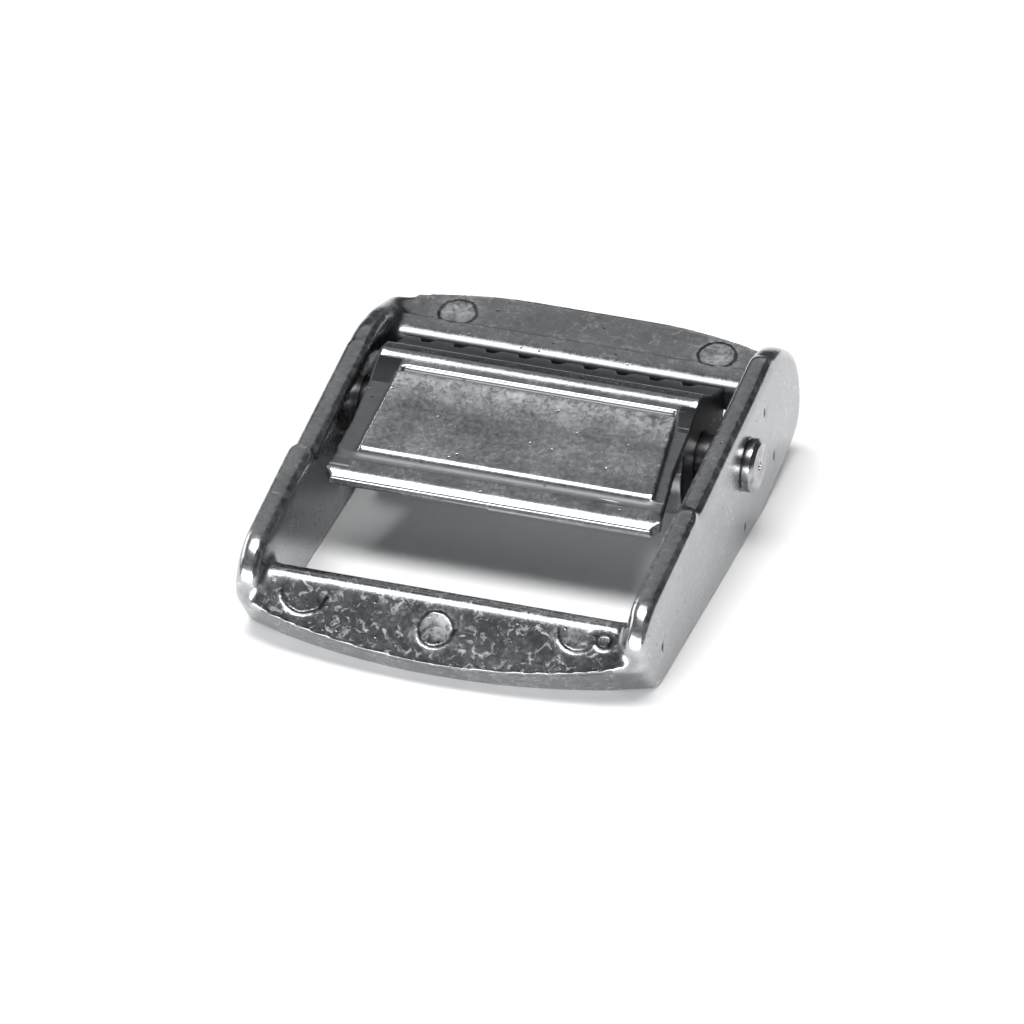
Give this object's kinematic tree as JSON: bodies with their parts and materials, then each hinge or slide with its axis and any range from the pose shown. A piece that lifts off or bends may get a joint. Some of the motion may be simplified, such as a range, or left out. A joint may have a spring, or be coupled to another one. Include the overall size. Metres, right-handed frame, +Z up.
{
  "type": "cam buckle",
  "caption": "Cast cam buckle for narrow webbing: open frame with a front strap bar and a clamping rear bar, and a sprung toothed cam lever on a pin.",
  "frame": {"origin": "on the base plane, under the middle of the frame", "axes": "+X across the webbing to the side with the pin's head, +Y from the front bar to the rear bar, +Z up from the base"},
  "size_m": [0.0329, 0.0408, 0.0122],
  "materials": {
    "frame_zinc": "bare tumbled zinc casting",
    "cam_zinc": "bare tumbled zinc casting",
    "pin_steel": "turned steel",
    "spring_steel": "drawn spring wire"
  },
  "bodies": {
    "frame": {"frame": "frame_zinc", "pivot_pin": "pin_steel", "torsion_spring": "spring_steel"},
    "cam": {"cam_lever": "cam_zinc"}
  },
  "joints": [
    {"name": "cam_pivot", "type": "hinge", "parent": "frame", "child": "cam", "pos_m": [0, 0.00675, 0.0065], "axis": [1, 0, 0], "range_deg": [0, 32], "stiffness_Nm_per_rad": 0.06, "springref_deg": -22.92, "deforming": ["torsion_spring"]}
  ]
}
